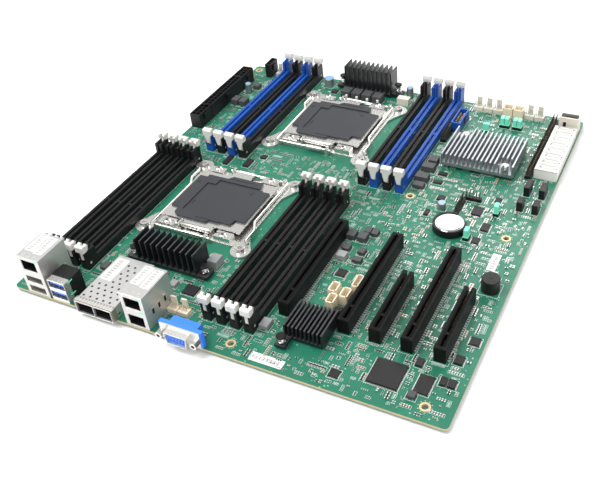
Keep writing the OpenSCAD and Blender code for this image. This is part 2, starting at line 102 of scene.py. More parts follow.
class Nodes:
    """Short names for the shader nodes that the materials share."""

    def __init__(self, name):
        self.mat = bpy.data.materials.new(name)
        self.mat.use_nodes = True
        self.tree = self.mat.node_tree
        self.bsdf = self.tree.nodes["Principled BSDF"]
        self.coord = self.new("ShaderNodeTexCoord").outputs["Object"]

    def new(self, kind, **values):
        n = self.tree.nodes.new(kind)
        for k, v in values.items():
            setattr(n, k, v)
        return n

    def link(self, a, b):
        self.tree.links.new(a, b)

    def noise(self, scale, detail=3.0, stretch=None):
        n = self.new("ShaderNodeTexNoise")
        n.inputs["Scale"].default_value = scale
        n.inputs["Detail"].default_value = detail
        if stretch:
            m = self.new("ShaderNodeMapping")
            m.inputs["Scale"].default_value = stretch
            self.link(self.coord, m.inputs["Vector"])
            self.link(m.outputs[0], n.inputs["Vector"])
        else:
            self.link(self.coord, n.inputs["Vector"])
        return n.outputs["Fac"]

    def ramp(self, value, low, high, to_low=0.0, to_high=1.0):
        n = self.new("ShaderNodeMapRange")
        for k, v in zip(("From Min", "From Max", "To Min", "To Max"), (low, high, to_low, to_high)):
            n.inputs[k].default_value = v
        self.link(value, n.inputs["Value"])
        return n.outputs["Result"]

    def math(self, op, a, b=None):
        n = self.new("ShaderNodeMath", operation=op)
        for i, v in enumerate((a, b)):
            if isinstance(v, (int, float)):
                n.inputs[i].default_value = v
            elif v is not None:
                self.link(v, n.inputs[i])
        return n.outputs[0]

    def mix(self, fac, a, b):
        n = self.new("ShaderNodeMix", data_type="RGBA")
        for socket, v in ((n.inputs["Factor"], fac), (n.inputs["A"], a), (n.inputs["B"], b)):
            if isinstance(v, (tuple, list)):
                socket.default_value = (*v, 1.0)
            else:
                self.link(v, socket)
        return n.outputs["Result"]

    def upward(self):
        """1 on faces that look up or down, 0 on upright ones."""
        n = self.new("ShaderNodeSeparateXYZ")
        self.link(self.new("ShaderNodeNewGeometry").outputs["True Normal"], n.inputs[0])
        return self.ramp(self.math("ABSOLUTE", n.outputs["Z"]), 0.4, 0.6)

    def bump(self, height, strength, distance):
        n = self.new("ShaderNodeBump")
        n.inputs["Strength"].default_value = strength
        n.inputs["Distance"].default_value = distance
        self.link(height, n.inputs["Height"])
        self.link(n.outputs[0], self.bsdf.inputs["Normal"])


def shade(c, k):
    return tuple(min(1.0, max(0.0, x * k)) for x in c)


def surface(name, color, rough=0.5, metal=0.0, vary=0.12, grain=900.0, bump=0.15,
            stretch=None, coat=0.0, top_highlight=None, gloss=0.5):
    """A material with slow colour drift, fine grain and uneven gloss.

    A top colour, if given, is a painted highlight on faces that look up or down, broken into patches by noise.
    """
    n = Nodes(name)
    drift = n.ramp(n.noise(35.0, 4.0), 0.3, 0.7)
    fine = n.noise(grain, 4.0, stretch)
    both = n.math("MULTIPLY_ADD", n.ramp(fine, 0.3, 0.7), 0.5)
    both.node.inputs[2].default_value = 0.0
    mixed = n.math("ADD", both, n.math("MULTIPLY", drift, 0.5))
    body = n.mix(mixed, shade(color, 1 - vary), shade(color, 1 + vary))
    if top_highlight:
        # painted highlight: the top colour on faces that look up or down, in noisy patches
        highlight_patches = n.ramp(n.noise(500.0), 0.3, 0.6, 0.4, 1.0)
        body = n.mix(n.math("MULTIPLY", n.upward(), highlight_patches), body, top_highlight)
    n.link(body, n.bsdf.inputs["Base Color"])
    roughness = n.ramp(fine, 0.25, 0.75, max(0.05, rough - 0.08), min(1.0, rough + 0.08))
    n.link(roughness, n.bsdf.inputs["Roughness"])
    n.bsdf.inputs["Metallic"].default_value = metal
    n.bsdf.inputs["Coat Weight"].default_value = coat
    n.bsdf.inputs["Specular IOR Level"].default_value = gloss
    n.bump(fine, bump, 0.0001)
    return n.mat


def laminate():
    """Solder mask over bundles of copper tracks, with small vias; the cut edges show bare fibre."""
    n = Nodes("solder_mask")
    cell = n.new("ShaderNodeTexVoronoi", distance="CHEBYCHEV")
    cell.inputs["Scale"].default_value = 42.0
    n.link(n.coord, cell.inputs["Vector"])
    pick = n.new("ShaderNodeSeparateColor")
    n.link(cell.outputs["Color"], pick.inputs[0])
    tracks = None
    for i, angle in enumerate((0.0, 90.0, 45.0)):
        turn = n.new("ShaderNodeMapping")
        turn.inputs["Rotation"].default_value = (0.0, 0.0, math.radians(angle))
        n.link(n.coord, turn.inputs["Vector"])
        wave = n.new("ShaderNodeTexWave", wave_type="BANDS", bands_direction="X")
        wave.inputs["Scale"].default_value = 260.0
        wave.inputs["Distortion"].default_value = 0.0
        n.link(turn.outputs[0], wave.inputs["Vector"])
        line = n.ramp(wave.outputs["Fac"], 0.55, 0.75)
        inside = n.math("COMPARE", pick.outputs["Red"], 0.2 + 0.3 * i)
        inside.node.inputs[2].default_value = 0.13
        part = n.math("MULTIPLY", line, inside)
        tracks = part if tracks is None else n.math("MAXIMUM", tracks, part)
    where = n.ramp(n.noise(22.0, 2.0), 0.42, 0.56)
    tracks = n.math("MULTIPLY", tracks, where)
    dots = n.new("ShaderNodeTexVoronoi")
    dots.inputs["Scale"].default_value = 330.0
    n.link(n.coord, dots.inputs["Vector"])
    via = n.ramp(dots.outputs["Distance"], 0.13, 0.2, 1.0, 0.0)
    via = n.math("MULTIPLY", via, n.ramp(n.noise(40.0, 2.0), 0.48, 0.56))
    mask = n.mix(n.ramp(n.noise(9.0, 3.0), 0.35, 0.65), (0.009, 0.135, 0.078), (0.013, 0.162, 0.096))
    mask = n.mix(n.math("MULTIPLY", tracks, 0.55), mask, (0.035, 0.23, 0.15))
    mask = n.mix(n.math("MULTIPLY", via, 0.8), mask, (0.42, 0.56, 0.42))
    flat = n.upward()
    strands = n.ramp(n.noise(700.0, 3.0, (1.0, 1.0, 9.0)), 0.3, 0.7)
    fibre = n.mix(strands, (0.42, 0.33, 0.16), (0.6, 0.5, 0.28))
    n.link(n.mix(flat, fibre, mask), n.bsdf.inputs["Base Color"])
    n.link(n.ramp(n.noise(120.0, 4.0), 0.3, 0.7, 0.32, 0.46), n.bsdf.inputs["Roughness"])
    n.bsdf.inputs["Specular IOR Level"].default_value = 0.35
    n.bump(n.math("ADD", tracks, via), 0.35, 0.00006)
    return n.mat


BLACK = surface("black_plastic", (0.009, 0.009, 0.01), 0.42, vary=0.3, gloss=0.26)
JET = surface("jet_plastic", (0.005, 0.005, 0.0055), 0.46, vary=0.3, gloss=0.12)
CHARCOAL = surface("charcoal_plastic", (0.034, 0.036, 0.041), 0.5, vary=0.12, bump=0.35, gloss=0.35)
BLUE = surface("blue_plastic", (0.008, 0.072, 0.36), 0.4, vary=0.15, gloss=0.35)
SKY = surface("bright_blue_plastic", (0.035, 0.2, 0.83), 0.42, vary=0.12)
WHITE = surface("white_plastic", (0.7, 0.69, 0.65), 0.42, vary=0.06)
IVORY = surface("ivory_plastic", (0.8, 0.68, 0.5), 0.48, vary=0.08)
MINT = surface("mint_plastic", (0.2, 0.78, 0.55), 0.42, vary=0.1)
ORANGE = surface("orange_plastic", (0.9, 0.33, 0.04), 0.45, vary=0.1)
STEEL = surface("nickel_steel", (0.74, 0.73, 0.7), 0.24, metal=0.9, vary=0.02, bump=0.03)
CAGE = surface("cage_steel", (0.62, 0.615, 0.6), 0.36, metal=0.75, vary=0.03, bump=0.05)
BRONZE = surface("spring_bronze", (0.36, 0.32, 0.26), 0.35, metal=0.8, vary=0.1)
CELL = surface("cell_steel", (0.56, 0.56, 0.55), 0.34, metal=0.8, vary=0.04, bump=0.05)
CREAM = surface("cream_plastic", (0.66, 0.62, 0.53), 0.45, vary=0.08)
GREY = surface("grey_print", (0.07, 0.07, 0.072), 0.6, vary=0.1)
DARK_PIN = surface("dark_pin", (0.13, 0.11, 0.08), 0.4, metal=0.7, vary=0.2)
BRIGHT = surface("bright_wire", (0.78, 0.77, 0.74), 0.22, metal=1.0, vary=0.05)
TIN = surface("tin_plate", (0.74, 0.73, 0.69), 0.32, metal=0.85, vary=0.08, bump=0.1)
GOLD = surface("gold_contact", (0.8, 0.56, 0.22), 0.28, metal=0.9, vary=0.1, bump=0.1)
PAD = surface("hole_pad", (0.62, 0.5, 0.3), 0.42, metal=0.35, vary=0.12)
ALU = surface("bare_aluminium", (0.33, 0.35, 0.365), 0.36, metal=0.75, vary=0.08, grain=140.0,
              stretch=(12, 1, 1))
# the fin tops get a painted highlight, a lighter grey on faces that look up or down
BLACK_ALU = surface("black_anodised", (0.02, 0.021, 0.024), 0.34, metal=0.45, vary=0.25, grain=300.0,
                    stretch=(1, 8, 1), top_highlight=(0.07, 0.07, 0.075), gloss=0.4)
FERRITE = surface("ferrite_grey", (0.055, 0.057, 0.06), 0.6, vary=0.25, bump=0.4)
PALE_FERRITE = surface("pale_ferrite", (0.27, 0.28, 0.28), 0.55, vary=0.15, bump=0.35)
CHIP = surface("chip_resin", (0.014, 0.014, 0.015), 0.5, vary=0.3, bump=0.3, gloss=0.3)
CERAMIC = surface("tan_ceramic", (0.42, 0.27, 0.14), 0.5, vary=0.25)
INK = surface("white_ink", (0.8, 0.82, 0.8), 0.6, vary=0.08)
LABEL = surface("paper_label", (0.82, 0.82, 0.8), 0.6, vary=0.05)
SLEEVE = surface("blue_sleeve", (0.18, 0.38, 0.62), 0.35, vary=0.1, coat=0.3)
# near-black paint for holes, slots and recesses: painted shade where openings are
HOLE_SHADE = surface("painted_hole_shade", (0.006, 0.006, 0.007), 0.7, vary=0.3)
SOLDER_MASK = laminate()

# ---- geometry ----


def on_circle(r, i, count):
    """Point i of count, evenly spaced on a circle of radius r."""
    return r * math.cos(2 * math.pi * i / count), r * math.sin(2 * math.pi * i / count)


def band(first, second, count):
    """The faces between two rings of count points, given where each ring starts."""
    return [(first + i, first + (i + 1) % count, second + (i + 1) % count, second + i)
            for i in range(count)]


class Piece:
    """Collects faces in board millimetres and makes one object of them."""

    def __init__(self, name, mats):
        self.name, self.mats = name, list(mats)
        self.verts, self.faces, self.which = [], [], []

    def add(self, verts, faces, mat):
        n = len(self.verts)
        self.verts += [tuple(v) for v in verts]
        self.faces += [tuple(n + i for i in f) for f in faces]
        self.which += [self.mats.index(mat)] * len(faces)

    def box(self, x, y, z, w, d, h, mat, top=1.0):
        """A box from its low corner; top is the size of its top against its foot."""
        cx, cy = x + w / 2, y + d / 2
        v = []
        corners = ((-1, -1), (1, -1), (1, 1), (-1, 1))
        for k, zz in ((1.0, z), (top, z + h)):
            v += [(cx + sx * w / 2 * k, cy + sy * d / 2 * k, zz) for sx, sy in corners]
        self.add(v, [(3, 2, 1, 0), (4, 5, 6, 7)] + band(0, 4, 4), mat)

    def mid(self, x, y, z, w, d, h, mat, top=1.0):
        """A box from the middle of its foot."""
        self.box(x - w / 2, y - d / 2, z, w, d, h, mat, top)

    def turned(self, origin, rings, mat, axis="z", seg=24):
        """A turned shape: rings of (radius, height) about an axis, closed at both ends."""
        ox, oy, oz = origin
        v = []
        for r, h in rings:
            for i in range(seg):
                a, b = on_circle(r, i, seg)
                if axis == "z":
                    v.append((ox + a, oy + b, oz + h))
                elif axis == "y":
                    v.append((ox + b, oy + h, oz + a))
                else:
                    v.append((ox + h, oy + a, oz + b))
        f = [tuple(range(seg - 1, -1, -1)), tuple(range((len(rings) - 1) * seg, len(rings) * seg))]
        for k in range(len(rings) - 1):
            f += band(k * seg, (k + 1) * seg, seg)
        self.add(v, f, mat)

    def prism(self, points, axis, a, b, mat):
        """A flat outline pushed from a to b along an axis; points run anticlockwise about it."""
        n = len(points)
        v = []
        for t in (a, b):
            for p, q in points:
                v.append({"x": (t, p, q), "y": (q, t, p), "z": (p, q, t)}[axis])
        f = [tuple(range(n - 1, -1, -1)), tuple(range(n, 2 * n))]
        self.add(v, f + band(0, n, n), mat)

    def ring(self, x, y, z, r0, r1, h, mat, seg=32):
        """A flat washer."""
        v = []
        for r, zz in ((r0, z), (r1, z), (r1, z + h), (r0, z + h)):
            for i in range(seg):
                a, b = on_circle(r, i, seg)
                v.append((x + a, y + b, zz))
        f = []
        for k in range(4):
            f += band(k * seg, (k + 1) % 4 * seg, seg)
        self.add(v, f, mat)

    def tube(self, path, r, mat, seg=10):
        """A round wire along a path."""
        path = [Vector(p) for p in path]
        n = len(path)
        v, side = [], None
        for i, p in enumerate(path):
            along = (path[min(i + 1, n - 1)] - path[max(i - 1, 0)]).normalized()
            if side is None:
                side = along.orthogonal().normalized()
            side = (side - along * side.dot(along)).normalized()
            up = along.cross(side)
            for k in range(seg):
                a, b = on_circle(1.0, k, seg)
                v.append(p + (side * a + up * b) * r)
        f = [tuple(range(seg - 1, -1, -1)), tuple(range((n - 1) * seg, n * seg))]
        for i in range(n - 1):
            f += band(i * seg, (i + 1) * seg, seg)
        self.add(v, f, mat)

    def solid(self, s, pick):
        """A copy of one of a node's solids; pick is a material, or gives one from a face's centre."""
        for f in s["faces"]:
            c = sum((s["verts"][i] for i in f), Vector()) / len(f)
            mat = pick(c) if callable(pick) else pick
            self.add([s["verts"][i] for i in f], [tuple(range(len(f)))], mat)

    def make(self, body, replaces=(), bevel=0.0, smooth=False):
        """Builds the object and says which body it rides on and which CAD nodes it stands for."""
        mesh = bpy.data.meshes.new(self.name)
        mesh.from_pydata([at(*v) for v in self.verts], [], self.faces)
        for m in self.mats:
            mesh.materials.append(m)
        mesh.polygons.foreach_set("material_index", self.which)
        b = bmesh.new()
        b.from_mesh(mesh)
        bmesh.ops.remove_doubles(b, verts=b.verts, dist=1e-7)
        b.to_mesh(mesh)
        b.free()
        mesh.update()
        o = bpy.data.objects.new(self.name, mesh)
        bpy.context.scene.collection.objects.link(o)
        polish(o, bevel, smooth)
        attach(o, body)
        if replaces:
            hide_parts(*replaces)


def round_edges(o, bevel):
    """Small round edges that catch the light."""
    m = o.modifiers.new("round", "BEVEL")
    m.width = bevel * MM
    m.segments = 2
    m.limit_method = "ANGLE"
    m.angle_limit = math.radians(40)


def polish(o, bevel, smooth):
    """Smooth shading and round edges, where they are asked for."""
    if smooth:
        o.data.polygons.foreach_set("use_smooth", [True] * len(o.data.polygons))
        o.data.set_sharp_from_angle(angle=math.radians(35))
    if bevel:
        round_edges(o, bevel)


def keep(node, mat, bevel):
    """Shows a CAD node as it is, with its own finish and small round edges."""
    o = NODES[node]
    o.data.materials.clear()
    o.data.materials.append(mat)
    o.modifiers.new("weld", "WELD").merge_threshold = 1e-6
    if bevel:
        round_edges(o, bevel)


def solids(node):
    """A node's separate solids in board millimetres, in order of place."""
    b = bmesh.new()
    b.from_mesh(NODES[node].data)
    bmesh.ops.remove_doubles(b, verts=b.verts, dist=1e-6)
    bmesh.ops.dissolve_limit(b, angle_limit=0.01, verts=b.verts, edges=b.edges)
    b.verts.ensure_lookup_table()
    seen, found = set(), []
    for v in b.verts:
        if v in seen:
            continue
        group, todo = [], [v]
        seen.add(v)
        while todo:
            w = todo.pop()
            group.append(w)
            for e in w.link_edges:
                u = e.other_vert(w)
                if u not in seen:
                    seen.add(u)
                    todo.append(u)
        number = {w: i for i, w in enumerate(group)}
        places = [mm(w.co) for w in group]
        touched = dict.fromkeys(f for w in group for f in w.link_faces)
        faces = [[number[x] for x in f.verts] for f in touched]
        lo = Vector([min(p[k] for p in places) for k in range(3)])
        hi = Vector([max(p[k] for p in places) for k in range(3)])
        found.append({"verts": places, "faces": faces, "lo": lo, "hi": hi, "mid": (lo + hi) / 2})
    b.free()
    return sorted(found, key=lambda s: (round(s["lo"].x, 1), round(s["lo"].y, 1), round(s["lo"].z, 1)))


SHARED_NODES = ("memory_sockets", "expansion_slots", "storage_connectors", "power_connectors",
                "board_headers", "surface_components", "push_pins", "socket_screws")
SHARED = {n: solids(n) for n in SHARED_NODES}

# ---- board: mask, hole pads, ink, small soldered parts ----

PAD_R = 3.3
VIA_RING_R = 4.1
VIAS = 10
PRINT_Z = 0.005
PRINT_T = 0.03
EDGE_MARGIN = 2
HOLE_MARGIN = 7

keep("circuit_board", SOLDER_MASK, 0.0)
mounts = [m for m in frame["record"]["mounts"] if m["kind"] == "bore"]
pads = Piece("hole_pads", [PAD])
for m in mounts:
    p = mm(m["pos_m"])
    r = m["dims"]["r_mm"]
    pads.ring(p.x, p.y, 0.01, r + 0.05, PAD_R, 0.04, PAD)
    for i in range(VIAS):
        a, b = on_circle(VIA_RING_R, i, VIAS)
        pads.ring(p.x + a, p.y + b, 0.01, 0.12, 0.36, 0.04, PAD, 10)
pads.make("board")

footprints = []
for group in SHARED.values():
    footprints += [(s["lo"], s["hi"]) for s in group if s["lo"].z < 2]
for name in ("lan_ports", "usb3_stack", "sfp_cage", "vga_port", "battery_holder", "processor_sockets",
             "socket_frames", "regulator_heatsinks", "chipset_heatsink"):
    footprints += [(s["lo"], s["hi"]) for s in solids(name) if s["lo"].z < 2]


def free(x0, y0, x1, y1, gap=0.4):
    """True if nothing stands on that rectangle of the board."""
    if min(x0, y0) < EDGE_MARGIN or x1 > WIDTH - EDGE_MARGIN or y1 > DEPTH - EDGE_MARGIN:
        return False
    for m in mounts:
        p = mm(m["pos_m"])
        if math.hypot((x0 + x1) / 2 - p.x, (y0 + y1) / 2 - p.y) < HOLE_MARGIN:
            return False
    return all(x1 + gap < lo.x or x0 - gap > hi.x or y1 + gap < lo.y or y0 - gap > hi.y
               for lo, hi in footprints)


def take(x0, y0, x1, y1):
    """Marks that rectangle of the board as used."""
    footprints.append((Vector((x0, y0, 0)), Vector((x1, y1, 1))))


ink = Piece("board_ink", [INK])


def outline(x0, y0, x1, y1, t=0.22):
    """A thin printed frame on the board."""
    across = ((x0, y0, x1, y0 + t), (x0, y1 - t, x1, y1))
    along = ((x0, y0, x0 + t, y1), (x1 - t, y0, x1, y1))
    for a, b, c, d in across + along:
        ink.box(a, b, PRINT_Z, c - a, d - b, PRINT_T, INK)


for s in SHARED["surface_components"] + SHARED["board_headers"]:
    lo, hi = s["lo"], s["hi"]
    if hi.x - lo.x < 30 and hi.y - lo.y < 30 and lo.z < 0.5 and lo.y > 3:
        outline(lo.x - 0.9, lo.y - 0.9, hi.x + 0.9, hi.y + 0.9)
for s in SHARED["memory_sockets"] + SHARED["expansion_slots"]:
    lo, hi = s["lo"], s["hi"]
    side = 0.7 if hi.y - lo.y > 120 else 1.9
    outline(lo.x - side, lo.y - 1.2, hi.x + side, hi.y + 1.2, 0.16)

small = Piece("small_parts", [CERAMIC, CHIP, TIN, PALE_FERRITE])


def chip_part(x, y, w, d, h, mat, along_x):
    """A resistor or capacitor with a tinned end at each side."""
    if not along_x:
        w, d = d, w
    small.box(x - w / 2, y - d / 2, 0, w, d, h, mat)
    for s in (-1, 1):
        if along_x:
            small.mid(x + s * w * 0.42, y, 0, w * 0.3, d * 1.06, h * 1.08, TIN)
        else:
            small.mid(x, y + s * d * 0.42, 0, w * 1.06, d * 0.3, h * 1.08, TIN)


SMALL_SIZES = ((1.0, 0.5, 0.35), (1.0, 0.5, 0.35), (1.6, 0.8, 0.5), (1.6, 0.8, 0.8), (2.0, 1.25, 0.7))
SMALL_GROUPS = 1250
placed = 0
for _ in range(20000):
    x, y = rng.uniform(3, WIDTH - 3), rng.uniform(3, DEPTH - 3)
    across = rng.random() < 0.5
    size = rng.choice(SMALL_SIZES)
    count = rng.choice((1, 2, 3, 4, 6))
    step = size[1] + 0.7
    w, d = (size[0], step * count) if across else (step * count, size[0])
    if not free(x - w / 2, y - d / 2, x + w / 2, y + d / 2):
        continue
    mat = rng.choice((CERAMIC, PALE_FERRITE, CHIP, CHIP, CHIP))
    for k in range(count):
        q = (k - (count - 1) / 2) * step
        chip_part(x + (0 if across else q), y + (q if across else 0), *size, mat, across)
    take(x - w / 2 - 0.5, y - d / 2 - 0.5, x + w / 2 + 0.5, y + d / 2 + 0.5)
    if rng.random() < 0.5:
        outline(x - w / 2 - 0.45, y - d / 2 - 0.45, x + w / 2 + 0.45, y + d / 2 + 0.45, 0.12)
    placed += 1
    if placed >= SMALL_GROUPS:
        break
small.make("board")

BLOCK_SIZES = ((3.2, 1.8), (5.5, 3.0), (8.0, 2.2), (2.2, 4.4), (2.6, 8.0), (10.0, 4.2), (4.4, 10.0))
PRINTED_BLOCKS = 420
blocks = 0
for _ in range(9000):
    x, y = rng.uniform(4, WIDTH - 4), rng.uniform(4, DEPTH - 4)
    w, d = rng.choice(BLOCK_SIZES)
    if not free(x - w / 2, y - d / 2, x + w / 2, y + d / 2, 0.3):
        continue
    outline(x - w / 2, y - d / 2, x + w / 2, y + d / 2, 0.13)
    step = 0.8
    for k in range(int(max(w, d) / step) - 1):
        q = -max(w, d) / 2 + step * (k + 1)
        if w > d:
            ink.box(x + q - 0.14, y - d * 0.25, PRINT_Z, 0.28, d * 0.5, PRINT_T, INK)
        else:
            ink.box(x - w * 0.25, y + q - 0.14, PRINT_Z, w * 0.5, 0.28, PRINT_T, INK)
    take(x - w / 2, y - d / 2, x + w / 2, y + d / 2)
    blocks += 1
    if blocks >= PRINTED_BLOCKS:
        break
ink.make("board")
stickers = Piece("stickers", [LABEL, GREY])
for x, y, w, d in ((180, 3.2, 22, 6.6), (285.2, 130, 5.8, 17)):
    stickers.box(x, y, 0.04, w, d, 0.08, LABEL)
    for k in range(int((max(w, d) - 3) / 0.8)):
        t = 0.28 if k % 3 else 0.45
        if w > d:
            stickers.box(x + 1.5 + k * 0.8, y + 1.8, 0.12, t, d - 3.6, 0.02, GREY)
        else:
            stickers.box(x + 1.6, y + 1.5 + k * 0.8, 0.12, w - 3.2, t, 0.02, GREY)
stickers.make("board")

# ---- memory sockets ----

TOWER = 11.4
RIB_PITCH = 1.7

memory = Piece("memory_banks", [BLACK, BLUE])
ribs = Piece("memory_ribs", [BLACK, BLUE])
contacts = Piece("memory_contacts", [GOLD])
for s in SHARED["memory_sockets"]:
    lo, hi, c = s["lo"], s["hi"], s["mid"]
    row = sum(1 for t in SHARED["memory_sockets"] if abs(t["lo"].y - lo.y) < 1 and t["lo"].x < lo.x - 1)
    blue = lo.y > 150 and row % 2 == (1 if c.x > 90 else 0)
    mat = BLUE if blue else BLACK
    memory.solid(s, mat)
    y = lo.y + TOWER
    while y < hi.y - TOWER:
        for side in (-1, 1):
            ribs.mid(c.x + side * 1.5, y, 6.45, 1.1, 0.55, 0.25, mat)
            contacts.mid(c.x + side * 0.72, y, 2.6, 0.1, 0.5, 1.9, GOLD)
        y += RIB_PITCH
    for side in (-1, 1):
        x = c.x + side * 3.1 - (0.05 if side > 0 else 0.1)
        memory.box(x, lo.y + 10.5, 1.2, 0.15, hi.y - lo.y - 21, 0.5, BLACK)
memory.make("board", ["memory_sockets"], 0.22)
ribs.make("board")
contacts.make("board")

for n in NODES:
    if n.startswith("latch_"):
        keep(n, WHITE, 0.25)

# ---- expansion slots ----

SLOT_PITCH = 1.0
SLOT_END = 3

slots = Piece("slot_rows", [JET, GOLD, CAGE])
for s in SHARED["expansion_slots"]:
    lo, hi, c = s["lo"], s["hi"], s["mid"]
    slots.solid(s, JET)
    y = lo.y + SLOT_END
    while y < hi.y - SLOT_END:
        for side in (-1, 1):
            slots.mid(c.x + side * 1.65, y, hi.z - 0.02, 1.2, 0.45, 0.3, JET)
            slots.mid(c.x + side * 0.82, y, 3.6, 0.12, 0.4, 3.6, GOLD)
        y += SLOT_PITCH
    for k in range(int((hi.y - lo.y - 4) / 2)):
        for side in (-1, 1):
            slots.mid(c.x + side * 4.5, lo.y + 3 + k * 2, 0, 1.3, 0.9, 0.35, CAGE)
    slots.mid(c.x, lo.y + 1, hi.z, 3.4, 0.8, 0.2, JET)
slots.make("board", ["expansion_slots"], 0.25)

# ---- solder joints on the underside ----

HEADER_PITCH = 2.54
HOUSING_PITCH = 4.2

joints = Piece("solder_joints", [TIN])
under = mm(BOARD_LO).z


def solder(s, pitch_x, pitch_y, inset):
    """A grid of joints below one part, each wide at the board and narrow at its pin."""
    lo, hi = s["lo"], s["hi"]
    across = max(1, round((hi.x - lo.x - 2 * inset) / pitch_x) + 1)
    along = max(1, round((hi.y - lo.y - 2 * inset) / pitch_y) + 1)
    for i in range(across):
        for j in range(along):
            x = s["mid"].x + (i - (across - 1) / 2) * pitch_x
            y = s["mid"].y + (j - (along - 1) / 2) * pitch_y
            joints.mid(x, y, under - 0.6, 0.5, 0.5, 0.62, TIN, 2.2)


for s in SHARED["memory_sockets"]:
    solder(s, 2.6, 2.0, 2.2)
for s in SHARED["expansion_slots"]:
    solder(s, 3.2, 2.0, 2.2)
for s in SHARED["power_connectors"]:
    if s["hi"].y - s["lo"].y > 2:
        solder(s, HOUSING_PITCH, HOUSING_PITCH, 2.6)
for s in SHARED["board_headers"] + SHARED["storage_connectors"]:
    if s["lo"].z < 1:
        solder(s, HEADER_PITCH, HEADER_PITCH, 1.5)
for name in ("lan_ports", "usb3_stack", "vga_port"):
    for s in solids(name):
        if s["lo"].z < 1 and s["hi"].x - s["lo"].x > 8:
            back = {"lo": Vector((s["lo"].x, s["hi"].y - 7, 0)), "hi": s["hi"], "mid": s["mid"].copy()}
            back["mid"].y = s["hi"].y - 3.5
            solder(back, HEADER_PITCH, HEADER_PITCH, 1.8)
joints.make("board")

# ---- processor sockets ----

LAND_PITCH_X = 1.12
LAND_PITCH_Y = 1.05

keep("processor_sockets", BLACK, 0.2)
keep("socket_frames", STEEL, 0.3)
keep("socket_backplates", STEEL, 0.2)
lands = Piece("socket_contacts", [GOLD, BLACK, CERAMIC])
for n in (1, 2):
    keep(f"load_plate_{n}", STEEL, 0.3)
    keep(f"socket_cover_{n}", CHARCOAL, 0.35)
    p = socket_middle(n)
    for i in range(-21, 22):
        for j in range(-20, 21):
            if abs(i) > 8 or abs(j) > 7:
                x = p.x + i * LAND_PITCH_X
                lands.mid(x, p.y + j * LAND_PITCH_Y, 0.78, 0.5, 0.4, 0.5, GOLD, 0.4)
    lands.mid(p.x, p.y, 0.3, 52.4, 45.0, 0.5, BLACK)
    for _ in range(46):
        lands.mid(p.x + rng.uniform(-7, 7), p.y + rng.uniform(-6, 6), 0.8, 1.0, 0.6, 0.5, CERAMIC)
lands.make("board")

for n in (1, 2):
    p = socket_middle(n)
    trim = Piece(f"cover_trim_{n}", [CHARCOAL, HOLE_SHADE])
    z = box_of(f"socket_cover_{n}")[1].z
    # a dark sheet painted as the shade of a slot in the cover
    trim.mid(p.x - 17.5, p.y - 9, z - 0.88, 1.2, 5.0, 0.02, HOLE_SHADE)
    corner = [(p.x + 14.5, p.y + 16.5), (p.x + 18.5, p.y + 16.5), (p.x + 18.5, p.y + 12.5)]
    trim.prism(corner, "z", z - 0.9, z - 0.6, CHARCOAL)
    for y in (-24.4, 24.6):
        trim.mid(p.x + 4, p.y + y, z - 0.05, 20, 0.7, 0.35, CHARCOAL)
    trim.turned((p.x - 27.5, p.y + 14, z - 0.05), [(1.5, 0), (1.5, 0.35), (1.1, 0.45)], CHARCOAL)
    trim.make(f"socket_cover_{n}", (), 0.12)

screws = Piece("clamp_screws", [BRIGHT, HOLE_SHADE])
for s in SHARED["socket_screws"]:
    c, top = s["mid"], s["hi"].z
    head = [(2.55, 0), (2.6, 0.2), (2.6, 1.0), (2.2, 1.45), (1.7, 1.58)]
    screws.turned((c.x, c.y, top - 1.6), head, BRIGHT)
    screws.turned((c.x, c.y, s["lo"].z), [(1.4, 0), (1.5, 0.4), (1.5, top - 1.5 - s["lo"].z)], BRIGHT, seg=16)
    # the star recess in each head is a dark sheet: painted shade
    star = [((1.25 if k % 2 == 0 else 0.85) * math.cos(math.pi * k / 6) + c.x,
             (1.25 if k % 2 == 0 else 0.85) * math.sin(math.pi * k / 6) + c.y) for k in range(12)]
    screws.prism(star, "z", top - 0.1, top, HOLE_SHADE)
screws.make("board", ["socket_screws"], 0.0, True)


BEND_R = 1.4
LEVER_R = 1.08


def smooth_path(points, steps=6):
    """Points joined by a curve that rounds each corner."""
    out = [Vector(points[0])]
    for a, b, c in zip(points, points[1:], points[2:]):
        a, b, c = Vector(a), Vector(b), Vector(c)
        r = min(BEND_R, (b - a).length / 2.2, (c - b).length / 2.2)
        p, q = b + (a - b).normalized() * r, b + (c - b).normalized() * r
        for k in range(steps + 1):
            t = k / steps
            out.append(p * (1 - t) ** 2 + b * 2 * t * (1 - t) + q * t * t)
    return out + [Vector(points[-1])]


for n in (1, 2):
    for side, k in (("left", 1), ("right", -1)):
        node = f"socket_lever_{n}_{side}"
        p = socket_middle(n)
        z = mm(joint_with("child", node)["pos_m"]).z
        path = [(14.2, -39), (-35, -39), (-35, 12), (-39.4, 20), (-39.4, 32), (-43.3, 34.4)]
        wire = Piece(f"lever_{n}_{side}", [BRIGHT])
        wire.tube(smooth_path([(p.x + k * a, p.y + k * b, z) for a, b in path]), LEVER_R, BRIGHT, 12)
        wire.turned((p.x, p.y - 39 * k, z), [(1.2, -7), (1.85, -6.6), (1.85, 6.6), (1.2, 7)], BRIGHT, "x", 18)
        wire.make(node, [node], 0.0, True)

# ---- heat sinks and push pins ----

COIL_R = 2.15
COIL_WIRE_R = 0.3
COIL_TURNS = 4.5
COIL_STEPS = 64

